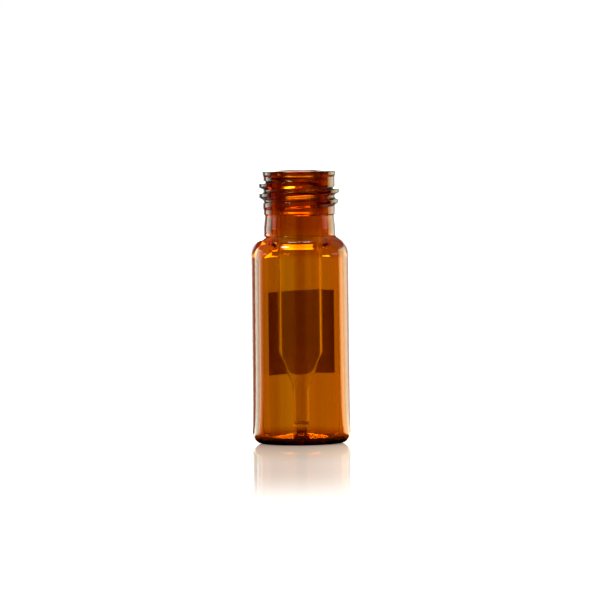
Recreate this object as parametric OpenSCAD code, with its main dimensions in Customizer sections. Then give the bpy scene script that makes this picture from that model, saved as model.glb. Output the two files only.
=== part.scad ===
// Amber screw-neck sample vial with a clear micro-insert bonded inside it.
// The vial stands on z = 0 with its axis on Z. The writing patch is on the +Y side.
// All lengths are in millimetres and all angles in degrees.

/* [Body] */
// Outside diameter of the body
body_d = 11.6; // [10.8:0.1:14]
// Height of the vial, from the surface it stands on to the rim
vial_h = 32; // [30:0.5:44]
// Glass thickness of the body's wall
body_wall = 1.15; // [0.9:0.05:1.4]
// Outside radius of the shoulder
shoulder_round = 2.1; // [1.2:0.1:2.2]
// Slope of the shoulder where it meets the neck
shoulder_slope = 35; // [25:1:38]
// Slope of the ceiling under the shoulder
ceiling_slope = 39; // [30:1:42]
// Radius of the inside corner between wall and ceiling
ceiling_round = 1.8; // [1:0.1:2]
// Distance from the top of the shoulder down to where the ceiling's line meets the bore
ceiling_drop = 0.48; // [0.36:0.02:0.7]
// Radius of the sweep from the ceiling into the bore
ceiling_sweep = 2.4; // [1:0.1:3]

/* [Foot] */
// Radius of the rounded edge round the foot
foot_round = 1.3; // [0.8:0.1:1.8]
// Width of the flat ring that the vial stands on
foot_ring_w = 0.6; // [0.3:0.1:0.8]
// Depth of the shallow hollow under the foot
hollow_h = 0.4; // [0.1:0.05:0.5]
// Glass thickness at the floor's outer edge
floor_t = 1; // [0.8:0.05:1.4]
// How far the floor rises from its edge to its middle
floor_rise = 0.4; // [0.2:0.05:0.7]
// Radius of the inside corner between wall and floor
floor_round = 1.1; // [0.4:0.1:1.2]

/* [Neck] */
// Length of the neck, from the top of the shoulder to the rim
neck_h = 7.6; // [7.2:0.1:9]
// Outside diameter of the neck between the turns of the thread
neck_d = 8.54; // [8.4:0.02:8.6]
// Diameter of the mouth's bore
bore_d = 5.66; // [5.6:0.02:6.2]
// Outside diameter of the lip round the mouth
lip_d = 8.74; // [8.6:0.02:9.2]
// Height of the lip
lip_h = 0.48; // [0.3:0.02:0.7]
// Height of the slope under the lip
lip_slope_h = 0.25; // [0.15:0.05:0.6]
// Rounding of the lip's outer edge
lip_round = 0.11; // [0.05:0.01:0.35]
// Rounding of the mouth's edge, where the lip meets the bore
mouth_round = 0.4; // [0.2:0.05:0.6]
// How much wider the bore is at the mouth, on each side
mouth_flare = 0.19; // [0:0.01:0.25]
// Height over which the mouth widens
mouth_flare_h = 1.13; // [0.6:0.01:1.5]
// Distance from the rim down to the end of the formed part of the neck
formed_h = 5.05; // [5:0.05:5.6]
// Height of the step at the end of the formed part
formed_step = 0.18; // [0.1:0.02:0.3]
// Diameter of the waist just under the formed part
waist_d = 8.24; // [8:0.02:8.3]
// Outside diameter of the neck where it meets the shoulder
neck_root_d = 8.56; // [8.4:0.02:9]
// Radius of the hollow corner between neck and shoulder
neck_root_round = 0.4; // [0.15:0.05:0.6]
// Height of the neck's straight foot, above the top of the shoulder
neck_foot_h = 0.9; // [0.5:0.1:1.2]

/* [Thread] */
// Diameter over the crest of the thread
thread_d = 9.6; // [9.2:0.02:9.8]
// Rise of the thread in one turn
thread_pitch = 1.19; // [1.16:0.01:1.25]
// Width of the ridge where it leaves the neck
thread_w = 1.12; // [0.7:0.02:1.14]
// How far the crest of the thread leans towards the rim
thread_lean = 0.08; // [0:0.02:0.12]
// Distance from the rim down to the middle of the thread's upper end
thread_top = 1.35; // [1.25:0.01:1.45]
// Length of the thread as an angle round the neck
thread_sweep = 950; // [800:10:970]
// Length of the run-out at the thread's upper end, as an angle round the neck
upper_run_out = 110; // [60:10:150]
// Length of the run-out at the thread's lower end, as an angle round the neck
lower_run_out = 400; // [300:10:600]
// Direction of the thread's lower end, anticlockwise from +X
thread_start = 80; // [0:5:355]

/* [Insert] */
// Gap between the insert's tube and the mouth's bore, on each side
insert_gap = 0.13; // [0.05:0.01:0.5]
// Glass thickness of the tube
insert_wall = 0.4; // [0.35:0.01:0.6]
// How far the insert's mouth lies below the vial's rim
insert_drop = 0.54; // [0.3:0.02:1]
// Height above the insert's foot at which the tube starts to narrow
cone_top_h = 9.3; // [8.5:0.1:11]
// Angle between the side of the cone and the axis
cone_angle = 23; // [20:0.5:28]
// Radius of the edge between tube and cone
cone_round = 0.6; // [0.3:0.1:1]
// Radius of the long sweep from cone to stem
stem_sweep = 6; // [3:0.5:8]
// Outside diameter of the stem
stem_d = 2.04; // [1.8:0.02:2.3]
// Glass thickness of the stem
stem_wall = 0.28; // [0.2:0.01:0.35]
// Diameter of the bead round the closed end
bead_d = 2.4; // [2.3:0.02:2.8]
// Height of the bead
bead_h = 0.95; // [0.7:0.05:1.2]
// Glass thickness of the closed end
end_t = 0.7; // [0.4:0.05:0.8]
// Diameter of the flat on the end, bonded to the vial's floor
bond_d = 1.5; // [1:0.1:1.8]

/* [Writing patch] */
// Length of the patch round the body
patch_w = 11.3; // [8:0.1:14]
// Height of the patch
patch_h = 9.8; // [6:0.1:12]
// Height of the patch's middle above the surface that the vial stands on
patch_z = 12.8; // [10:0.1:14]
// Thickness of the fired enamel
patch_t = 0.03; // [0.02:0.01:0.06]
// How far the patch's middle is turned from +Y towards +X
patch_turn = 2.5; // [0:0.5:15]
// Slope of the patch's upper and lower edges
patch_tilt = 1.6; // [0:0.1:3]

/* [Hidden] */
$fn = 96;
arc_step = 7.5;    // largest angle that one flat of a rounded corner turns
dome_flats = 8;    // flats along the outline of a dome
side_left = 0.05;  // share of an outline's side that two roundings leave straight between them
waist_round = 2;   // rounding of the long curve from the neck's foot to the waist
step_round = 0.1;  // rounding of the step at the end of the formed part
slope_round = 0.1; // rounding under the slope below the lip
lip_edge = 0.3;    // rounding of the lip's lower edge
flare_round = 0.7; // rounding of the bore where the mouth starts to widen
floor_share = 1.2; // distance of the floor's dome from the wall, as a share of floor_round
bead_round = 0.3;  // rounding of the bead's two edges
bead_neck = 0.5;   // rounding of the corner between bead and stem
end_round = 0.7;   // rounding of the stem's closed end inside, as a share of its bore's radius
crest_power = 1.3; // above 1 the crest of the thread is narrower than half an ellipse
ridge_flats = 8;   // flats across the ridge of the thread
ridge_turn = 10;   // angle from one ring of the thread to the next
ridge_root = 0.1;  // how deep the sides of the ridge go into the neck
ridge_end = 0.1;   // share of the ridge's height left at its two ends, inside the neck's wall

body_r = body_d / 2;
body_in = body_r - body_wall;
neck_r = neck_d / 2;
bore_r = bore_d / 2;
lip_r = lip_d / 2;
waist_r = waist_d / 2;
neck_root_r = neck_root_d / 2;
shoulder_z = vial_h - neck_h;
ceiling_z = shoulder_z - ceiling_drop;
formed_z = vial_h - formed_h;
hollow_r = body_r - foot_round - foot_ring_w;

insert_d = bore_d - 2 * insert_gap;   // the insert passes through the mouth
insert_r = insert_d / 2;
insert_in = insert_r - insert_wall;
insert_z = floor_t + floor_rise;   // the insert stands on the middle of the floor
insert_top = vial_h - insert_drop;
stem_r = stem_d / 2;
stem_in = stem_r - stem_wall;
bead_r = bead_d / 2;
bond_r = bond_d / 2;
cone_top = insert_z + cone_top_h;
cone_foot = cone_top - (insert_r - stem_r) / tan(cone_angle);

ridge_h = thread_d / 2 - neck_r;
ridge_rings = round(thread_sweep / ridge_turn);
thread_low = vial_h - thread_top - thread_pitch * thread_sweep / 360;

// Height of the shoulder's straight slope at radius r.
function slope_z(r) = shoulder_z - (r - neck_root_r) * tan(shoulder_slope);

// Height of the ceiling's straight slope at radius r.
function under_z(r) = ceiling_z - (r - bore_r) * tan(ceiling_slope);

// How far the rounding of corner b reaches along its sides, per unit of its radius.
function reach(a, b, c) =
    let (u = (a - b) / norm(a - b), v = (c - b) / norm(c - b))
    1 / tan(acos(u * v) / 2);

// Points of corner b, between its neighbours a and c, rounded with radius r.
function rounded(a, b, c, r) =
    let (u = (a - b) / norm(a - b),
         v = (c - b) / norm(c - b),
         half = acos(u * v) / 2,
         centre = b + (u + v) / norm(u + v) * r / sin(half),
         start = b + u * r / tan(half) - centre,
         end = b + v * r / tan(half) - centre,
         from = atan2(start.y, start.x),
         turn = (atan2(end.y, end.x) - from + 540) % 360 - 180,
         flats = ceil(abs(turn) / arc_step))
    [for (i = [0 : flats])
        centre + r * [cos(from + turn * i / flats), sin(from + turn * i / flats)]];

// Outline with corners [radius, height, rounding]. Roundings that meet on a side share it.
function outline(corners) =
    let (n = len(corners),
         p = [for (c = corners) [c.x, c.y]],
         need = [for (i = [0 : n - 1])
             corners[i].z == 0 ? 0 : corners[i].z * reach(p[(i + n - 1) % n], p[i], p[(i + 1) % n])],
         fit = [for (i = [0 : n - 1])
             let (j = (i + 1) % n)
             need[i] + need[j] == 0 ? 1
                 : min(1, (1 - side_left) * norm(p[j] - p[i]) / (need[i] + need[j]))])
    [for (i = [0 : n - 1])
        let (before = (i + n - 1) % n, after = (i + 1) % n)
        each corners[i].z == 0 ? [p[i]]
            : rounded(p[before], p[i], p[after], corners[i].z * min(fit[before], fit[i]))];

// Corners along a dome, from its middle at height z + h out to its edge at height z.
function dome(r_middle, r_edge, z, h) =
    [for (i = [0 : dome_flats])
        [r_middle + (r_edge - r_middle) * i / dome_flats, z + h * (1 + cos(180 * i / dome_flats)) / 2, 0]];

function reversed(list) = [for (i = [len(list) - 1 : -1 : 0]) list[i]];

// Corners of the vial's half section: under the foot, up the outside, over the rim, down to the floor.
function vial_corners() =
    concat(
        dome(0, hollow_r, 0, hollow_h),
        [[body_r, 0, foot_round],
         [body_r, slope_z(body_r), shoulder_round],
         [neck_root_r, shoulder_z, neck_root_round],
         [neck_root_r, shoulder_z + neck_foot_h, waist_round],
         [waist_r, formed_z - formed_step, step_round],
         [neck_r, formed_z, step_round],
         [neck_r, vial_h - lip_h - lip_slope_h, slope_round],
         [lip_r, vial_h - lip_h, lip_edge],
         [lip_r, vial_h, lip_round],
         [bore_r + mouth_flare, vial_h, mouth_round],
         [bore_r, vial_h - mouth_flare_h, flare_round],
         [bore_r, ceiling_z, ceiling_sweep],
         [body_in, under_z(body_in), ceiling_round],
         [body_in, floor_t, floor_round]],
        reversed(dome(bond_r, body_in - floor_share * floor_round, floor_t, floor_rise)),
        [[0, floor_t + floor_rise, 0]]);

// Corners of the insert's half section: up the outside from its foot, then down the inside.
function insert_corners() =
    let (shift = tan(cone_angle / 2))
    [[0, insert_z, 0],
     [bond_r, insert_z, 0],
     [bead_r, insert_z + bead_h / 3, bead_round],
     [bead_r, insert_z + bead_h * 2 / 3, bead_round],
     [stem_r, insert_z + bead_h, bead_neck],
     [stem_r, cone_foot, stem_sweep],
     [insert_r, cone_top, cone_round],
     [insert_r, insert_top, insert_wall / 2],
     [insert_in, insert_top, insert_wall / 2],
     [insert_in, cone_top - insert_wall * shift, cone_round],
     [stem_in, cone_foot - stem_wall * shift, stem_sweep],
     [stem_in, insert_z + end_t, stem_in * end_round],
     [0, insert_z + end_t, 0]];

// Smooth step from 0 to 1.
function smooth(t) = (3 - 2 * t) * t * t;

// Points across the thread's ridge at the share s of its length.
function ridge_ring(s) =
    let (run = s * thread_sweep,
         rise = min(1, run / lower_run_out),
         fall = min(1, (thread_sweep - run) / upper_run_out),
         share = smooth(rise) * smooth(fall),
         height = (ridge_h + ridge_root) * (ridge_end + (1 - ridge_end) * share),
         angle = thread_start + run,
         z = thread_low + thread_pitch * run / 360)
    [for (i = [0 : ridge_flats])
        let (k = 180 * i / ridge_flats,
             r = neck_r - ridge_root + height * pow(sin(k), crest_power))
        [r * cos(angle), r * sin(angle), z - thread_w / 2 * cos(k) + thread_lean * share * sin(k)]];

// External thread, a rounded ridge that rises out of the neck and sinks back into it.
module thread() {
    across = ridge_flats + 1;
    polyhedron(
        points = [for (i = [0 : ridge_rings]) each ridge_ring(i / ridge_rings)],
        faces = concat(
            [[for (k = [across - 1 : -1 : 0]) k]],
            [[for (k = [0 : across - 1]) ridge_rings * across + k]],
            [for (i = [0 : ridge_rings - 1], k = [0 : across - 1])
                let (a = i * across + k, b = i * across + (k + 1) % across)
                each [[a, b, a + across], [b, b + across, a + across]]]));
}

// Vial of amber tubing: a rounded foot, a rounded shoulder and a threaded neck in one piece of glass.
module vial() {
    color("#9c5200") {
        rotate_extrude() polygon(outline(vial_corners()));
        thread();
    }
}

// Micro-insert of clear glass: a tube that narrows to a closed stem, for a few drops of sample.
module insert() {
    color("#dfe6e4")
        rotate_extrude() polygon(outline(insert_corners()));
}

// Writing patch of white enamel, fired onto the back of the body.
module writing_patch() {
    span = patch_w / body_r * 180 / PI;
    color("#f1efe9")
        intersection() {
            rotate(90 - patch_turn - span / 2)
                rotate_extrude(angle = span)
                    translate([body_r, patch_z - patch_h])
                        square([patch_t, 2 * patch_h]);
            translate([0, 0, patch_z])
                rotate([0, -patch_tilt, 0])
                    cube([3 * body_d, 3 * body_d, patch_h], center = true);
        }
}

vial();
insert();
writing_patch();
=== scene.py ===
import math

import bpy
from mathutils import Matrix, Vector


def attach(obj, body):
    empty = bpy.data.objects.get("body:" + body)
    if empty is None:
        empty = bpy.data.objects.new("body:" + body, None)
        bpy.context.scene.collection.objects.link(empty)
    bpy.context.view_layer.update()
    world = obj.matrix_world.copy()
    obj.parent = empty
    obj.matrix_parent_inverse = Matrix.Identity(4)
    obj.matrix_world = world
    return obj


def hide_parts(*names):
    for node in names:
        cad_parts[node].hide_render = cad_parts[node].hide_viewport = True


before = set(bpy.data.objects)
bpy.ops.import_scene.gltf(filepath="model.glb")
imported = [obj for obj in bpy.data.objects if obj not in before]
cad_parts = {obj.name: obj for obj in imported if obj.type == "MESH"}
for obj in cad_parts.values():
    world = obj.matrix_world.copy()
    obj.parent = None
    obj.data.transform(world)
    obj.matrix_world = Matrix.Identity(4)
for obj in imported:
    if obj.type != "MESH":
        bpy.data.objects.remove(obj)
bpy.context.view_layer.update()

# Sizes in the dictionaries are in millimetres and angles in degrees; meshes are made in metres.
metre = 1000.0

sideUsed = 0.95            # share of an outline's side that two roundings may take up
onAxis = 1e-6              # a profile point nearer to the axis than this closes the surface
colourA, colourB, mixed = 6, 7, 2   # sockets of a Mix node that mixes colours


def toLinear(hexColour):
    out = []
    for i in (1, 3, 5):
        c = int(hexColour[i:i + 2], 16) / 255
        out.append(c / 12.92 if c <= 0.04045 else ((c + 0.055) / 1.055) ** 2.4)
    return (*out, 1.0)


def roundedCorner(before, corner, after, radius, arcStep):
    a, b, c = Vector(before), Vector(corner), Vector(after)
    u, v = (a - b).normalized(), (c - b).normalized()
    half = u.angle(v) / 2
    centre = b + (u + v).normalized() * radius / math.sin(half)
    start = b + u * radius / math.tan(half) - centre
    end = b + v * radius / math.tan(half) - centre
    first = math.atan2(start.y, start.x)
    turn = (math.atan2(end.y, end.x) - first + 3 * math.pi) % (2 * math.pi) - math.pi
    steps = max(2, math.ceil(abs(math.degrees(turn)) / arcStep))
    angles = [first + turn * i / steps for i in range(steps + 1)]
    return [(centre.x + radius * math.cos(t), centre.y + radius * math.sin(t)) for t in angles]


def outline(corners, arcStep):   # corners are (radius, height, rounding), from the axis round to the axis
    reach, fit = [], []
    flat = [Vector(c[:2]) for c in corners]
    for i, corner in enumerate(corners):
        if not corner[2]:
            reach.append(0.0)
            continue
        half = (flat[i - 1] - flat[i]).angle(flat[i + 1] - flat[i]) / 2
        reach.append(corner[2] / math.tan(half))
    for i in range(len(corners) - 1):
        need = reach[i] + reach[i + 1]
        fit.append(min(1.0, sideUsed * (flat[i + 1] - flat[i]).length / need) if need else 1.0)
    points = []
    for i, corner in enumerate(corners):
        if not corner[2]:
            points.append(tuple(flat[i]))
            continue
        radius = corner[2] * min(fit[i - 1], fit[i])   # roundings that meet on a side share it
        points += roundedCorner(flat[i - 1], flat[i], flat[i + 1], radius, arcStep)
    return points


def dome(inner, outer, z, rise, steps=16):   # corners of a soft dome, from its middle out to its edge
    out = []
    for i in range(steps + 1):
        s = i / steps
        out.append((inner + (outer - inner) * s, z + rise * (1 + math.cos(math.pi * s)) / 2, 0))
    return out


def refined(points, low, high, inside, spacing):   # shorter steps between two heights, outside a radius
    out = [points[0]]
    for (r0, z0), (r1, z1) in zip(points, points[1:]):
        length = math.hypot(r1 - r0, z1 - z0)
        steps = 1
        if min(z0, z1) > low and max(z0, z1) < high and min(r0, r1) > inside:
            steps = max(1, round(length / spacing))
        out += [(r0 + (r1 - r0) * i / steps, z0 + (z1 - z0) * i / steps) for i in range(1, steps + 1)]
    return out


def newPiece(name, verts, faces):
    mesh = bpy.data.meshes.new(name)
    mesh.from_pydata(verts, [], faces)
    mesh.update()
    piece = bpy.data.objects.new(name, mesh)
    bpy.context.collection.objects.link(piece)
    return piece


def revolve(name, profile, segments, shape=None):   # shape moves each point in or out by its height and angle
    verts, faces, rings = [], [], []
    for r, z in profile:
        if r < onAxis:
            rings.append([len(verts)])
            verts.append((0.0, 0.0, z / metre))
            continue
        rings.append(list(range(len(verts), len(verts) + segments)))
        for i in range(segments):
            angle = 2 * math.pi * i / segments
            radius = (r if shape is None else shape(r, z, angle)) / metre
            verts.append((radius * math.cos(angle), radius * math.sin(angle), z / metre))
    for low, high in zip(rings, rings[1:]):
        for i in range(segments):
            j = (i + 1) % segments
            loop = [low[i % len(low)], low[j % len(low)], high[j % len(high)], high[i % len(high)]]
            faces.append(list(dict.fromkeys(loop)))
    piece = newPiece(name, verts, faces)
    for polygon in piece.data.polygons:
        polygon.use_smooth = True
    return piece


def addNode(material, kind, settings=None, links=None):
    tree = material.node_tree
    node = tree.nodes.new(kind)
    for key, value in (settings or {}).items():
        if key == "stops":   # colours of a ramp: its place, and a hex colour or linear red, green and blue
            for _ in value[2:]:
                node.color_ramp.elements.new(0.5)
            for stop, (place, tone) in zip(node.color_ramp.elements, value):
                stop.position, stop.color = place, toLinear(tone) if isinstance(tone, str) else (*tone, 1.0)
        elif isinstance(key, int) or key in node.inputs:
            node.inputs[key].default_value = value
        else:
            setattr(node, key, value)
    for socket, source in (links or {}).items():
        tree.links.new(source, node.inputs[socket])
    return node


def newMaterial(name):
    material = bpy.data.materials.new(name)
    material.use_nodes = True
    material.node_tree.nodes.clear()
    return material


def inMillimetres(material):
    coords = addNode(material, "ShaderNodeTexCoord")
    return addNode(material, "ShaderNodeVectorMath", {"operation": "SCALE", "Scale": metre}, {
        0: coords.outputs["Object"],
    })


def drawLines(material, place, s):   # long soft streaks up a tube, left by drawing it
    stretched = addNode(material, "ShaderNodeVectorMath", {
        "operation": "MULTIPLY", 1: (1.0, 1.0, s["streakStretch"]),
    }, {0: place.outputs[0]})
    lines = addNode(material, "ShaderNodeTexNoise", {
        "Scale": s["streakPerMm"], "Detail": s["streakDetail"], "Roughness": s["streakRoughness"],
    }, {"Vector": stretched.outputs[0]})
    low, high = s["streakBand"]
    return addNode(material, "ShaderNodeValToRGB", {
        "stops": [(low, "#ffffff"), (high, s["streakTint"])],
    }, {0: lines.outputs[0]})


def finishGlass(material, s, colour):   # clear smooth surface, with the colour of the melt inside
    shader = addNode(material, "ShaderNodeBsdfPrincipled", {
        "Transmission Weight": 1.0, "IOR": s["ior"], "Roughness": s["roughness"],
    }, {"Base Color": colour})
    density = max(s["perMm"]) * metre
    absorbed = [1 - share * metre / density for share in s["perMm"]]
    volume = addNode(material, "ShaderNodeVolumeAbsorption", {"Color": (*absorbed, 1.0), "Density": density})
    addNode(material, "ShaderNodeOutputMaterial", {}, {
        "Surface": shader.outputs[0], "Volume": volume.outputs[0],
    })


# Amber borosilicate glass, drawn as tubing and formed hot at both ends. The iron in the melt gives brown
# where the light's way through the glass is long and orange where it is short. The fire-polished faces give
# sharp white lights, and drawing gives soft upright streaks.
amberGlass = {
    "ior": 1.50, "roughness": 0.0,
    "perMm": (0.33, 0.88, 3.2),   # absorption of red, green and blue light in one millimetre
    # colour by height above the bench, painted shade: dark at the foot's ring, brown above it, and darker
    # over the neck
    "heights": [(0.0, "#1c1410"), (0.3, "#1c1410"), (0.6, "#d0a080"), (1.0, "#d8a888"), (1.8, "#ffffff"),
                (24.2, "#ffffff"), (25.4, "#ecd2be")],
    # draw lines of the tubing: streaks in a millimetre, and the share of that up the tube
    "streakPerMm": 0.55, "streakStretch": 0.02, "streakDetail": 2.0, "streakRoughness": 0.6,
    "streakBand": (0.35, 0.65), "streakTint": "#f4ecd8",
    # painted shade on the front wall round the vial, by angle, where 0 is -Y and angles go towards +X
    "frontShade": [(-41, "#ffffff"), (-36, "#e8d8c8"), (-32, "#e8d8c8"), (-27, "#ffffff"), (-15, "#ffffff"),
              (-9, "#fff6e8"), (-5, "#e6caae"), (4, "#e6caae"), (9, "#fceed8"), (20, "#fceed8"),
              (32, "#ffffff")],
    # the same painted shade round the threaded neck, redder at its sides, and the heights between which it
    # sets in
    "thread": [(-75, "#ffffff"), (-58, "#bc8c80"), (-30, "#bc8c80"), (-20, "#ffffff"), (-5, "#f0d0b8"),
               (4, "#f0d0b8"), (22, "#ffffff"), (32, "#bc8c80"), (56, "#bc8c80"), (72, "#ffffff")],
    "threadFrom": 26.9, "threadFull": 27.5,
}


def amberBorosilicate():
    s = amberGlass
    material = newMaterial("amberBorosilicateDrawn")
    place = inMillimetres(material)
    split = addNode(material, "ShaderNodeSeparateXYZ", {}, {0: place.outputs[0]})
    streaks = drawLines(material, place, s)
    top = vialSizes["height"]
    share = addNode(material, "ShaderNodeMath", {"operation": "DIVIDE", 1: top}, {0: split.outputs["Z"]})
    # painted shade by height: the dark foot ring and the darker neck
    tint = addNode(material, "ShaderNodeValToRGB", {
        "stops": [(z / top, tone) for z, tone in s["heights"]],
    }, {0: share.outputs[0]})
    behind = addNode(material, "ShaderNodeMath", {"operation": "MULTIPLY", 1: -1.0}, {0: split.outputs["Y"]})
    side = addNode(material, "ShaderNodeMath", {"operation": "ARCTAN2"}, {
        0: split.outputs["X"], 1: behind.outputs[0],
    })
    turn = addNode(material, "ShaderNodeMapRange", {"From Min": -math.pi, "From Max": math.pi}, {
        "Value": side.outputs[0],
    })
    # painted shade by angle round the front, one ramp for the body and one for the neck
    around = []
    for kind in ("frontShade", "thread"):
        stops = [((angle + 180) / 360, tone) for angle, tone in s[kind]]
        around.append(addNode(material, "ShaderNodeValToRGB", {"stops": stops}, {0: turn.outputs[0]}))
    upper = addNode(material, "ShaderNodeMapRange", {
        "interpolation_type": "SMOOTHSTEP", "From Min": s["threadFrom"], "From Max": s["threadFull"],
    }, {"Value": split.outputs["Z"]})
    frontShade = addNode(material, "ShaderNodeMix", {"data_type": "RGBA"}, {
        "Factor": upper.outputs[0], colourA: around[0].outputs[0], colourB: around[1].outputs[0],
    })
    filtered = {"data_type": "RGBA", "blend_type": "MULTIPLY", "Factor": 1.0}
    lined = addNode(material, "ShaderNodeMix", filtered, {
        colourA: frontShade.outputs[mixed], colourB: streaks.outputs[0],
    })
    colour = addNode(material, "ShaderNodeMix", filtered, {
        colourA: tint.outputs[0], colourB: lined.outputs[mixed],
    })
    finishGlass(material, s, colour.outputs[mixed])
    return material


# Clear borosilicate glass, drawn as thin tubing and closed in a flame. It gives no colour of its own but a
# faint green, and it is seen by the bright and dark lines along its edges.
clearGlass = {
    "ior": 1.473, "roughness": 0.0,
    "perMm": (0.004, 0.002, 0.005),   # absorption of red, green and blue light in one millimetre
    # draw lines, finer than the vial's
    "streakPerMm": 1.4, "streakStretch": 0.03, "streakDetail": 2.0, "streakRoughness": 0.5,
    "streakBand": (0.35, 0.65), "streakTint": "#f8fbf6",
}


def clearBorosilicate():
    material = newMaterial("clearBorosilicateDrawn")
    streaks = drawLines(material, inMillimetres(material), clearGlass)
    finishGlass(material, clearGlass, streaks.outputs[0])
    return material


# White ceramic enamel, screen-printed and fired on. It gives a matt, slightly cloudy white from outside, and
# from inside a brown field, since the light that gets through its thin coat has the glass still to cross.
firedEnamel = {
    "roughness": 0.6,
    "grainPerMm": 1.2, "grainDetail": 4.0, "grainBand": (0.3, 0.7),   # clouds of the uneven coat
    "low": "#e4dfd4", "high": "#f2efe8",
    # marks of the printing screen, coarser than its 12 threads in a millimetre, which wouldn't show
    "meshPerMm": 9.0, "meshDetail": 1.0, "meshDepth": 0.004, "meshBump": 0.3,
    "through": 0.33, "throughTint": "#f4c6ac",   # share of light that comes through the coat, and its colour
}


def whiteEnamel():
    material = newMaterial("whiteEnamelFired")
    s = firedEnamel
    place = inMillimetres(material)
    grain = addNode(material, "ShaderNodeTexNoise", {"Scale": s["grainPerMm"], "Detail": s["grainDetail"]}, {
        "Vector": place.outputs[0],
    })
    low, high = s["grainBand"]
    tone = addNode(material, "ShaderNodeValToRGB", {"stops": [(low, s["low"]), (high, s["high"])]}, {
        0: grain.outputs[0],
    })
    mesh = addNode(material, "ShaderNodeTexNoise", {"Scale": s["meshPerMm"], "Detail": s["meshDetail"]}, {
        "Vector": place.outputs[0],
    })
    bump = addNode(material, "ShaderNodeBump", {
        "Strength": s["meshBump"], "Distance": s["meshDepth"] / metre,
    }, {"Height": mesh.outputs[0]})
    shader = addNode(material, "ShaderNodeBsdfPrincipled", {"Roughness": s["roughness"]}, {
        "Base Color": tone.outputs[0], "Normal": bump.outputs[0],
    })
    thin = addNode(material, "ShaderNodeBsdfTranslucent", {"Color": toLinear(s["throughTint"])})
    both = addNode(material, "ShaderNodeMixShader", {0: s["through"]}, {
        1: shader.outputs[0], 2: thin.outputs[0],
    })
    addNode(material, "ShaderNodeOutputMaterial", {}, {"Surface": both.outputs[0]})
    return material


vialSizes = {
    "bodyR": 5.8, "height": 32.0, "wall": 1.15,
    "shoulderZ": 24.4, "shoulderSlope": 35.0, "shoulderRound": 2.1,
    # ceiling under the shoulder, down from the shoulder's top
    "ceilingDrop": 0.48, "ceilingSlope": 39.0, "ceilingRound": 1.8, "ceilingSweep": 2.4,
    # foot's ring and the hollow inside it, and the domed floor, whose edge is a share of its rounding
    "footRound": 1.3, "footRing": 0.6, "hollow": 0.4,
    "floorT": 0.8, "floorRise": 0.5, "floorRound": 0.5, "floorEdge": 1.2,
    # nub in the middle of the floor, to which the insert is bonded
    "bondR": 0.75, "nubR": 0.65, "nubH": 0.4, "nubRound": 0.08,
    # neck, lip and flared mouth
    "neckR": 4.27, "boreR": 2.83, "lipR": 4.37, "lipH": 0.48, "lipSlopeH": 0.25, "slopeRound": 0.1,
    "lipRound": 0.11, "lipEdge": 0.3, "mouthRound": 0.4, "flare": 0.19, "flareH": 1.13, "flareRound": 0.7,
    # lower end of the neck's formed part, and the waist between it and the shoulder
    "formedZ": 26.95, "formedStep": 0.18, "stepRound": 0.1,
    "waistR": 4.12, "waistRound": 2.0, "neckRootR": 4.28, "neckRootRound": 0.4, "neckFootH": 0.9,
    # thread: crest, pitch and ridge, then its upper end and the angles of its length, run-outs and start
    "threadR": 4.8, "pitch": 1.19, "ridgeW": 1.12, "upperFlank": 0.32, "lowerFlank": 0.46,
    "threadTop": 30.65, "sweep": 950.0, "upperRunOut": 110.0, "lowerRunOut": 400.0, "start": 80.0,
    # how finely the mesh is cut: angle of one flat, flats round the axis, and steps of the threaded part,
    # which lies outside a radius and ends under the rim
    "arcStep": 5.0, "segments": 256, "threadStep": 0.035, "threadInside": 3.9, "rimPlain": 0.2,
}


def ease(t):
    t = min(1.0, max(0.0, t))
    return t * t * (3 - 2 * t)


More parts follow.
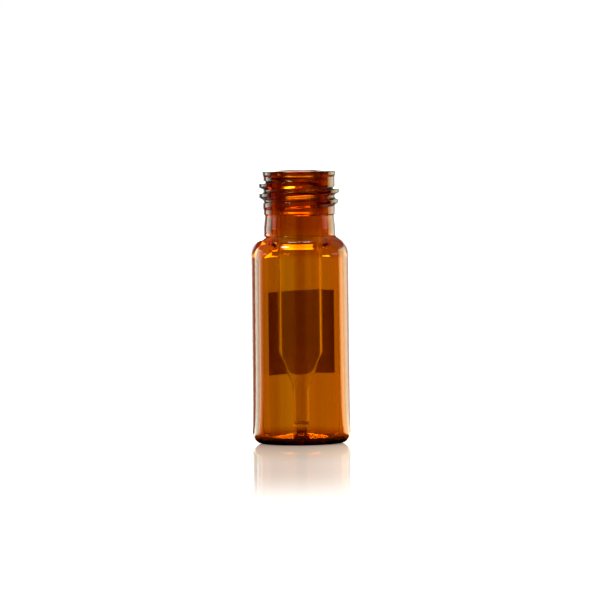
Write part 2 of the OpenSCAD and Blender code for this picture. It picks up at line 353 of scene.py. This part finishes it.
def makeVial():
    s = vialSizes
    inner = s["bodyR"] - s["wall"]
    slope = math.tan(math.radians(s["shoulderSlope"]))
    ceilingZ = s["shoulderZ"] - s["ceilingDrop"]
    ceilingFall = (inner - s["boreR"]) * math.tan(math.radians(s["ceilingSlope"]))
    shoulderEdge = s["shoulderZ"] - (s["bodyR"] - s["neckRootR"]) * slope
    nubZ = s["floorT"] + s["floorRise"]
    floorDome = dome(s["bondR"], inner - s["floorEdge"] * s["floorRound"], s["floorT"], s["floorRise"])
    corners = dome(0, s["bodyR"] - s["footRound"] - s["footRing"], 0, s["hollow"]) + [
        (s["bodyR"], 0, s["footRound"]),
        (s["bodyR"], shoulderEdge, s["shoulderRound"]),
        (s["neckRootR"], s["shoulderZ"], s["neckRootRound"]),
        (s["neckRootR"], s["shoulderZ"] + s["neckFootH"], s["waistRound"]),
        (s["waistR"], s["formedZ"] - s["formedStep"], s["stepRound"]),
        (s["neckR"], s["formedZ"], s["stepRound"]),
        (s["neckR"], s["height"] - s["lipH"] - s["lipSlopeH"], s["slopeRound"]),
        (s["lipR"], s["height"] - s["lipH"], s["lipEdge"]),
        (s["lipR"], s["height"], s["lipRound"]),
        (s["boreR"] + s["flare"], s["height"], s["mouthRound"]),
        (s["boreR"], s["height"] - s["flareH"], s["flareRound"]),
        (s["boreR"], ceilingZ, s["ceilingSweep"]),
        (inner, ceilingZ - ceilingFall, s["ceilingRound"]),
        (inner, s["floorT"], s["floorRound"]),
    ] + floorDome[::-1] + [
        (s["nubR"], nubZ, 0),
        (s["nubR"], nubZ + s["nubH"], s["nubRound"]),
        (0, nubZ + s["nubH"], 0),
    ]
    profile = refined(outline(corners, s["arcStep"]), s["formedZ"], s["height"] - s["rimPlain"],
                      s["threadInside"], s["threadStep"])
    ridgeH = s["threadR"] - s["neckR"]
    low = s["threadTop"] - s["pitch"] * s["sweep"] / 360

    def withThread(r, z, angle):   # radius with the thread's ridge on it
        if r < s["waistR"] or z < s["formedZ"]:
            return r
        best = r
        first = (math.degrees(angle) - s["start"]) % 360
        for turn in range(math.ceil(s["sweep"] / 360)):
            run = first + 360 * turn
            if run > s["sweep"]:
                break
            above = z - low - s["pitch"] * run / 360
            upper, lower = s["ridgeW"] / 2 - above, s["ridgeW"] / 2 + above
            across = ease(upper / s["upperFlank"]) * ease(lower / s["lowerFlank"])
            along = ease(run / s["lowerRunOut"]) * ease((s["sweep"] - run) / s["upperRunOut"])
            best = max(best, s["neckR"] + ridgeH * across * along)
        return best

    return revolve("vial_glass", profile, s["segments"], withThread)


insertSizes = {
    "r": 2.7, "wall": 0.4, "top": 31.46,
    "coneTopH": 8.95, "coneAngle": 23.0, "coneRound": 0.6, "stemSweep": 6.0, "stemR": 1.02, "stemWall": 0.28,
    "foot": 1.75, "bondR": 0.65, "bondGap": 0.01, "tipRound": 0.15,   # foot, kept just off the nub
    "beadR": 1.06, "beadH": 0.62, "beadRound": 0.3, "beadNeck": 0.5,
    "endT": 0.4, "endRound": 0.7,   # closed end inside, rounded by a share of the stem's bore
    "arcStep": 3.0, "segments": 160,
}


def makeInsert():
    s = insertSizes
    inner, stemIn = s["r"] - s["wall"], s["stemR"] - s["stemWall"]
    foot = s["foot"] + s["bondGap"]
    coneTop = s["foot"] + s["coneTopH"]
    coneFoot = coneTop - (s["r"] - s["stemR"]) / math.tan(math.radians(s["coneAngle"]))
    shift = math.tan(math.radians(s["coneAngle"] / 2))
    corners = [
        (0, foot, 0),
        (s["bondR"], foot, s["tipRound"]),
        (s["beadR"], s["foot"] + s["beadH"] / 3, s["tipRound"]),
        (s["beadR"], s["foot"] + s["beadH"] * 2 / 3, s["beadRound"]),
        (s["stemR"], s["foot"] + s["beadH"], s["beadNeck"]),
        (s["stemR"], coneFoot, s["stemSweep"]),
        (s["r"], coneTop, s["coneRound"]),
        (s["r"], s["top"], s["wall"] / 2),
        (inner, s["top"], s["wall"] / 2),
        (inner, coneTop - s["wall"] * shift, s["coneRound"]),
        (stemIn, coneFoot - s["stemWall"] * shift, s["stemSweep"]),
        (stemIn, s["foot"] + s["endT"], stemIn * s["endRound"]),
        (0, s["foot"] + s["endT"], 0),
    ]
    return revolve("insert_glass", outline(corners, s["arcStep"]), s["segments"])


patchSizes = {
    "width": 11.3, "height": 9.8, "middleZ": 12.8, "thickness": 0.03,
    "turn": 2.5, "tilt": 1.6,   # turned from +Y towards +X, and printed a little askew
    "gap": 0.004,               # air under the enamel, so that its face and the glass don't lie in one place
    "across": 96, "up": 8,      # flats of the mesh
}


def makePatch():
    s = patchSizes
    inner = vialSizes["bodyR"] + s["gap"]
    outer = vialSizes["bodyR"] + s["thickness"]
    across, up = s["across"], s["up"]
    span = s["width"] / vialSizes["bodyR"]
    middle = math.radians(90 - s["turn"])
    verts, faces = [], []
    for radius in (inner, outer):
        for j in range(up + 1):
            for i in range(across + 1):
                angle = middle + span * (i / across - 0.5)
                x = radius * math.cos(angle)
                z = s["middleZ"] + s["height"] * (j / up - 0.5) + x * math.tan(math.radians(s["tilt"]))
                verts.append((x / metre, radius * math.sin(angle) / metre, z / metre))
    layer, row = (across + 1) * (up + 1), across + 1
    for j in range(up):
        for i in range(across):
            a = j * row + i
            faces.append((a, a + row, a + row + 1, a + 1))
            faces.append((layer + a, layer + a + 1, layer + a + row + 1, layer + a + row))
    rim = [i for i in range(across)] + [j * row + across for j in range(up)]
    rim += [up * row + i for i in range(across, 0, -1)] + [j * row for j in range(up, 0, -1)]
    for a, b in zip(rim, rim[1:] + rim[:1]):
        faces.append((a, b, layer + b, layer + a))
    return newPiece("writing_patch_enamel", verts, faces)


vial = makeVial()
vial.data.materials.append(amberBorosilicate())
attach(vial, "root")
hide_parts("vial")
print("vial made,", len(vial.data.polygons), "faces")
insert = makeInsert()
insert.data.materials.append(clearBorosilicate())
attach(insert, "root")
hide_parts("insert")
print("insert made,", len(insert.data.polygons), "faces")
patch = makePatch()
patch.data.materials.append(whiteEnamel())
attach(patch, "root")
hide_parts("writing_patch")
print("writing patch made,", len(patch.data.polygons), "faces")


# White acrylic sheet, cast and polished. It gives a white ground with a faint mirror image at a low angle,
# and painted warm light in a lane where the amber glass would throw its light.
stageSizes = {
    "reach": 6000.0,
    "tone": "#fffdf8", "matt": 0.456, "polish": 0.03,   # colour, share of it that lamps light, and roughness
    "mirror": 0.5, "mirrorFrom": 45.0, "mirrorTo": 112.0,   # share that mirrors, and where it fades
    "mirrorRight": 0.72, "rightReach": 6.0,   # share of that at the vial's right side, and the way to it
    "grazeFrom": 0.72, "grazeTo": 0.88,   # how flat the view has to be for the polish to mirror
    "glowNear": 0.45, "glowFar": 0.62, "glowFrom": 12.0, "glowTo": 260.0,   # light inside the sheet
    # painted warm light, standing in for light through the amber glass: half width, soft edge, reach, and
    # colour by distance
    "castFrom": 4.6, "castTo": 7.5, "castReach": 75.0,
    "cast": [(6, "#f6d6c2"), (18, "#fbead0"), (34, "#fff6ea")],
    # painted light: seen steeply through the glass the floor glows brightest near the vial, and in
    # reflections it is painted dark
    "steepNear": 1.8, "steepFar": 0.5, "steepFrom": 8.0, "steepTo": 25.0,   # floor seen steeply through glass
    "steepGloss": 0.1,   # floor seen steeply in reflections
}


def makeFloor():
    s = stageSizes
    half = s["reach"] / metre
    ends = [(-half, -half, 0), (half, -half, 0), (half, half, 0), (-half, half, 0)]
    floor = newPiece("floor", ends, [(0, 1, 2, 3)])
    material = newMaterial("whiteAcrylicPolished")
    path = addNode(material, "ShaderNodeLightPath")
    place = addNode(material, "ShaderNodeNewGeometry")
    distance = addNode(material, "ShaderNodeVectorMath", {"operation": "LENGTH"}, {
        0: place.outputs["Position"],
    })
    spot = addNode(material, "ShaderNodeSeparateXYZ", {}, {0: place.outputs["Position"]})
    # share of the floor's look that is mirror: at a low angle, near the vial, less on the right
    angle = addNode(material, "ShaderNodeLayerWeight", {"Blend": 0.5})
    low = addNode(material, "ShaderNodeMapRange", {
        "interpolation_type": "SMOOTHSTEP", "From Min": s["grazeFrom"], "From Max": s["grazeTo"],
    }, {"Value": angle.outputs["Facing"]})
    fade = addNode(material, "ShaderNodeMapRange", {
        "interpolation_type": "SMOOTHSTEP",
        "From Min": s["mirrorFrom"] / metre, "From Max": s["mirrorTo"] / metre,
        "To Min": s["mirror"], "To Max": 0.0,
    }, {"Value": distance.outputs["Value"]})
    right = addNode(material, "ShaderNodeMapRange", {
        "From Min": 0.0, "From Max": s["rightReach"] / metre, "To Min": 1.0, "To Max": s["mirrorRight"],
    }, {"Value": spot.outputs["X"]})
    uneven = addNode(material, "ShaderNodeMath", {"operation": "MULTIPLY"}, {
        0: fade.outputs[0], 1: right.outputs[0],
    })
    share = addNode(material, "ShaderNodeMath", {"operation": "MULTIPLY"}, {
        0: uneven.outputs[0], 1: low.outputs[0],
    })
    # painted amber light in a lane in front of the vial and behind it
    aside = addNode(material, "ShaderNodeMath", {"operation": "ABSOLUTE"}, {0: spot.outputs["X"]})
    lane = addNode(material, "ShaderNodeMapRange", {
        "interpolation_type": "SMOOTHSTEP",
        "From Min": s["castFrom"] / metre, "From Max": s["castTo"] / metre,
        "To Min": 1 / s["mirror"], "To Max": 0.0,
    }, {"Value": aside.outputs[0]})
    cast = addNode(material, "ShaderNodeMath", {"operation": "MULTIPLY"}, {
        0: lane.outputs[0], 1: fade.outputs[0],
    })
    along = addNode(material, "ShaderNodeMath", {"operation": "MULTIPLY", 1: metre / s["castReach"]}, {
        0: distance.outputs["Value"],
    })
    warm = addNode(material, "ShaderNodeValToRGB", {
        "stops": [(far / s["castReach"], tone) for far, tone in s["cast"]],
    }, {0: along.outputs[0]})
    tone = addNode(material, "ShaderNodeMix", {"data_type": "RGBA", colourA: toLinear(s["tone"])}, {
        "Factor": cast.outputs[0], colourB: warm.outputs[0],
    })
    # what the camera sees
    dull = addNode(material, "ShaderNodeVectorMath", {"operation": "SCALE", "Scale": s["matt"]}, {
        0: tone.outputs[mixed],
    })
    glowing = addNode(material, "ShaderNodeMapRange", {
        "interpolation_type": "SMOOTHSTEP",
        "From Min": s["glowFrom"] / metre, "From Max": s["glowTo"] / metre,
        "To Min": s["glowNear"], "To Max": s["glowFar"],
    }, {"Value": distance.outputs["Value"]})
    matt = addNode(material, "ShaderNodeBsdfDiffuse", {}, {"Color": dull.outputs[0]})
    glow = addNode(material, "ShaderNodeEmission", {}, {
        "Color": tone.outputs[mixed], "Strength": glowing.outputs[0],
    })
    white = addNode(material, "ShaderNodeAddShader", {}, {0: matt.outputs[0], 1: glow.outputs[0]})
    gloss = addNode(material, "ShaderNodeBsdfGlossy", {"Roughness": s["polish"]})
    seen = addNode(material, "ShaderNodeMixShader", {}, {
        0: share.outputs[0], 1: white.outputs[0], 2: gloss.outputs[0],
    })
    # what glass and gloss see of the floor: the room at a low angle, and steeply a painted glow of its own,
    # brightest near the vial and dark in reflections
    under = addNode(material, "ShaderNodeMapRange", {
        "From Min": s["steepFrom"] / metre, "From Max": s["steepTo"] / metre,
        "To Min": s["steepNear"], "To Max": s["steepFar"],
    }, {"Value": distance.outputs["Value"]})
    dark = addNode(material, "ShaderNodeMix", {"A": s["steepGloss"]}, {
        "Factor": path.outputs["Is Transmission Ray"], "B": under.outputs[0],
    })
    steep = addNode(material, "ShaderNodeMapRange", {"To Max": 1.0}, {
        "Value": low.outputs[0], "To Min": dark.outputs[0],
    })
    studio = roomLight(material, place.outputs["Position"], path)
    level = addNode(material, "ShaderNodeMath", {"operation": "MULTIPLY", 1: roomSizes["brightest"]}, {
        0: steep.outputs[0],
    })
    mirrored = addNode(material, "ShaderNodeEmission", {}, {"Color": studio, "Strength": level.outputs[0]})
    through = addNode(material, "ShaderNodeMath", {"operation": "MAXIMUM"}, {
        0: path.outputs["Is Transmission Ray"], 1: path.outputs["Is Glossy Ray"],
    })
    both = addNode(material, "ShaderNodeMixShader", {}, {
        0: through.outputs[0], 1: seen.outputs[0], 2: mirrored.outputs[0],
    })
    addNode(material, "ShaderNodeOutputMaterial", {}, {"Surface": both.outputs[0]})
    floor.data.materials.append(material)
    return floor


# Light of the room round the vial, as (azimuth, strength, tint): 0 is behind the vial, 90 to its right.
roomSizes = {
    "brightest": 6.0,
    # what reflections see: white panels beside the backdrop, with dark gaps between
    "gloss": [
        (-180, 0.0, "#ffffff"), (-84, 0.0, "#ffffff"), (-78, 1.5, "#ffe8c8"), (-70, 3.2, "#f4ffe4"),
        (-58, 5.0, "#ecffec"), (-51, 5.0, "#ecffec"), (-49, 0.2, "#ffffff"), (-37, 0.2, "#ffffff"),
        (-34, 1.2, "#ffffff"), (-20, 3.0, "#ffffff"), (20, 3.0, "#ffffff"), (34, 1.2, "#ffffff"),
        (36, 0.6, "#ffffff"), (40, 3.0, "#fff4e0"), (52, 4.4, "#f6f8c4"), (66, 5.0, "#fbe6a4"),
        (75, 3.6, "#ffd08c"), (79, 0.0, "#ffffff"), (180, 0.0, "#ffffff"),
    ],
    # what is seen through the glass, low and high up
    "glass": [
        (-180, 0.8, "#ffffff"), (-84, 0.8, "#ffffff"), (-78, 1.3, "#ffffff"), (-62, 1.7, "#ffffff"),
        (-54, 1.4, "#ffffff"), (-53, 2.8, "#ffffff"), (-50, 2.8, "#ffffff"), (-48, 0.35, "#ffffff"),
        (-37, 0.35, "#ffffff"), (-33, 1.1, "#ffffff"), (-12, 1.05, "#f8ffe8"), (-3, 1.08, "#f8ffe8"),
        (0, 1.0, "#fff8ee"), (12, 1.08, "#fff6ee"), (33, 1.5, "#ffffff"), (36, 0.6, "#ffffff"),
        (43, 2.0, "#ffffff"), (50, 2.7, "#ffffff"), (52, 2.7, "#ffffff"), (55, 1.4, "#ffffff"),
        (76, 1.3, "#ffffff"), (80, 0.8, "#ffffff"), (180, 0.8, "#ffffff"),
    ],
    "glassHigh": [
        (-180, 0.8, "#ffffff"), (-80, 0.8, "#ffffff"), (-60, 1.6, "#ffffff"), (-34, 1.75, "#ffffff"),
        (-20, 1.5, "#ffffff"), (0, 1.3, "#ffffff"), (22, 1.0, "#ffffff"), (38, 1.05, "#ffffff"),
        (60, 1.35, "#ffffff"), (80, 0.8, "#ffffff"), (180, 0.8, "#ffffff"),
    ],
    "highFrom": 9, "highTo": 16,   # elevations between which the low ramp turns into the high one
    # elevations where the walls end, in reflections and through the glass, and the share of light above them
    "reflectedTop": (15, 19), "throughTop": (44, 52), "aboveWalls": 0.06,
    # white low at the two sides, mirrored by the bench: elevations, and how far it reaches, as the sine
    "skirt": (4.0, 8.0), "skirtSide": (0.12, 0.22), "skirtLevel": 1.2,
}


def sineOf(degrees):
    return math.sin(math.radians(degrees))


def roomLight(material, direction, path):   # colour of the room, of which 1 stands for the brightest
    s = roomSizes
    split = addNode(material, "ShaderNodeSeparateXYZ", {}, {0: direction})
    side = addNode(material, "ShaderNodeMath", {"operation": "ARCTAN2"}, {
        0: split.outputs["X"], 1: split.outputs["Y"],
    })
    turn = addNode(material, "ShaderNodeMapRange", {"From Min": -math.pi, "From Max": math.pi}, {
        "Value": side.outputs[0],
    })
    ramps = {}
    for kind in ("gloss", "glass", "glassHigh"):
        stops = [((azimuth + 180) / 360, [c * level / s["brightest"] for c in toLinear(tint)[:3]])
                 for azimuth, level, tint in s[kind]]
        ramps[kind] = addNode(material, "ShaderNodeValToRGB", {"stops": stops}, {0: turn.outputs[0]})
    high = addNode(material, "ShaderNodeMapRange", {
        "interpolation_type": "SMOOTHSTEP",
        "From Min": sineOf(s["highFrom"]), "From Max": sineOf(s["highTo"]),
    }, {"Value": split.outputs["Z"]})
    walls = addNode(material, "ShaderNodeMix", {"data_type": "RGBA"}, {
        "Factor": high.outputs[0], colourA: ramps["glass"].outputs[0], colourB: ramps["glassHigh"].outputs[0],
    })
    seen = addNode(material, "ShaderNodeMix", {"data_type": "RGBA"}, {
        "Factor": path.outputs["Is Transmission Ray"],
        colourA: ramps["gloss"].outputs[0], colourB: walls.outputs[mixed],
    })
    return seen.outputs[mixed]


def makeWorld():
    s = roomSizes
    world = bpy.data.worlds.new("studio")
    bpy.context.scene.world = world
    world.use_nodes = True
    world.node_tree.nodes.clear()
    path = addNode(world, "ShaderNodeLightPath")
    coords = addNode(world, "ShaderNodeTexCoord")
    studio = roomLight(world, coords.outputs["Generated"], path)
    split = addNode(world, "ShaderNodeSeparateXYZ", {}, {0: coords.outputs["Generated"]})
    # how high the walls reach, in reflections and through the glass
    upper = [addNode(world, "ShaderNodeMapRange", {
        "interpolation_type": "SMOOTHSTEP", "From Min": sineOf(low), "From Max": sineOf(high),
        "To Min": 1.0, "To Max": s["aboveWalls"],
    }, {"Value": split.outputs["Z"]}) for low, high in (s["reflectedTop"], s["throughTop"])]
    top = addNode(world, "ShaderNodeMix", {}, {
        "Factor": path.outputs["Is Transmission Ray"], "A": upper[0].outputs[0], "B": upper[1].outputs[0],
    })
    lit = addNode(world, "ShaderNodeMath", {"operation": "MULTIPLY", 1: s["brightest"]}, {0: top.outputs[0]})
    room = addNode(world, "ShaderNodeBackground", {}, {"Color": studio, "Strength": lit.outputs[0]})
    # white low at the sides, for reflections alone
    skirt = addNode(world, "ShaderNodeMapRange", {
        "From Min": sineOf(s["skirt"][0]), "From Max": sineOf(s["skirt"][1]), "To Min": 1.0, "To Max": 0.0,
    }, {"Value": split.outputs["Z"]})
    across = addNode(world, "ShaderNodeMath", {"operation": "ABSOLUTE"}, {0: split.outputs["Y"]})
    beside = addNode(world, "ShaderNodeMapRange", {
        "From Min": s["skirtSide"][0], "From Max": s["skirtSide"][1], "To Min": 1.0, "To Max": 0.0,
    }, {"Value": across.outputs[0]})
    area = addNode(world, "ShaderNodeMath", {"operation": "MULTIPLY"}, {
        0: skirt.outputs[0], 1: beside.outputs[0],
    })
    paled = addNode(world, "ShaderNodeMath", {"operation": "MULTIPLY"}, {
        0: area.outputs[0], 1: path.outputs["Is Glossy Ray"],
    })
    pale = addNode(world, "ShaderNodeBackground", {"Color": (1, 1, 1, 1), "Strength": s["skirtLevel"]})
    walls = addNode(world, "ShaderNodeMixShader", {}, {
        0: paled.outputs[0], 1: room.outputs[0], 2: pale.outputs[0],
    })
    # plain white for the camera and for the light on matt things, the room for glass and gloss
    plain = addNode(world, "ShaderNodeBackground", {"Color": (1, 1, 1, 1), "Strength": 1.0})
    through = addNode(world, "ShaderNodeMath", {"operation": "MAXIMUM"}, {
        0: path.outputs["Is Transmission Ray"], 1: path.outputs["Is Glossy Ray"],
    })
    inside = addNode(world, "ShaderNodeMixShader", {}, {
        0: through.outputs[0], 1: plain.outputs[0], 2: walls.outputs[0],
    })
    both = addNode(world, "ShaderNodeMixShader", {}, {
        0: path.outputs["Is Camera Ray"], 1: inside.outputs[0], 2: plain.outputs[0],
    })
    addNode(world, "ShaderNodeOutputWorld", {}, {"Surface": both.outputs[0]})


# Softboxes round the vial, aimed at its middle: azimuth 0 is +Y, behind the vial, and 90 is +X, to its right.
# A size is the width and height of the softbox, and strength 1 shows as white.
lampDistance, lampAimZ = 600, 16.0
lamps = {
    # bars of light in the shoulder, the neck and the thread
    "overheadSoftbox": {"azimuth": -4, "elevation": 21.5, "size": (333, 130), "strength": 15.0},
    # even light on matt things, not mirrored in the glass
    "frontSoftbox": {"azimuth": 180, "elevation": 65, "size": (400, 300), "strength": 2.0, "mirrored": False},
    # bright line along the rim and the top of the shoulder
    "topStrip": {"azimuth": 0, "elevation": 86, "size": (300, 80), "strength": 10.0},
    # short highlights on the left of the neck and the thread
    "smallLamp": {"azimuth": -132, "elevation": 50, "size": (180, 110), "strength": 14.0},
}


def areaLight(name, azimuth, elevation, size, strength, mirrored=True):
    lamp = bpy.data.lights.new(name, "AREA")
    lamp.shape = "RECTANGLE"
    lamp.size, lamp.size_y = size[0] / metre, size[1] / metre
    lamp.energy = strength * math.pi * lamp.size * lamp.size_y
    holder = bpy.data.objects.new(name, lamp)
    bpy.context.collection.objects.link(holder)
    a, e = math.radians(azimuth), math.radians(elevation)
    away = Vector((math.sin(a) * math.cos(e), math.cos(a) * math.cos(e), math.sin(e)))
    holder.location = Vector((0, 0, lampAimZ / metre)) + away * lampDistance / metre
    holder.rotation_mode = "QUATERNION"
    holder.rotation_quaternion = away.to_track_quat("Z", "Y")
    holder.visible_camera = False
    holder.visible_glossy = mirrored


makeFloor()
makeWorld()
for lampName, lampSizes in lamps.items():
    areaLight(lampName, **lampSizes)
print("floor, room and", len(lamps), "lamps made")


cameraSizes = {
    "distance": 900.0, "elevation": 2.7, "roll": -0.62, "aimZ": 16.8, "aimX": -0.03,
    "fieldWidth": 70.34,   # width of the view at the vial's axis
    "sensor": 36.0, "clip": (50.0, 20000.0),
}


def makeCamera():
    s = cameraSizes
    data = bpy.data.cameras.new("camera")
    camera = bpy.data.objects.new("camera", data)
    bpy.context.collection.objects.link(camera)
    e = math.radians(s["elevation"])
    aim = Vector((s["aimX"], 0, s["aimZ"])) / metre
    back = Vector((0, -math.cos(e), math.sin(e)))
    camera.rotation_mode = "QUATERNION"
    turn = (-back).to_track_quat("-Z", "Y")
    roll = Matrix.Rotation(math.radians(s["roll"]), 3, "Z").to_quaternion()
    camera.rotation_quaternion = turn @ roll
    camera.location = aim + back * s["distance"] / metre
    data.sensor_width = s["sensor"]
    data.lens = data.sensor_width * s["distance"] / s["fieldWidth"]
    data.clip_start, data.clip_end = (far / metre for far in s["clip"])
    bpy.context.scene.camera = camera


makeCamera()
print("camera set", cameraSizes["distance"], "mm away")

glassBounces = 40   # light crosses the glass many times in the shoulder and the thread
bpy.context.scene.view_settings.view_transform = "Standard"
for kind in ("max_bounces", "transmission_bounces", "glossy_bounces"):
    setattr(bpy.context.scene.cycles, kind, glassBounces)
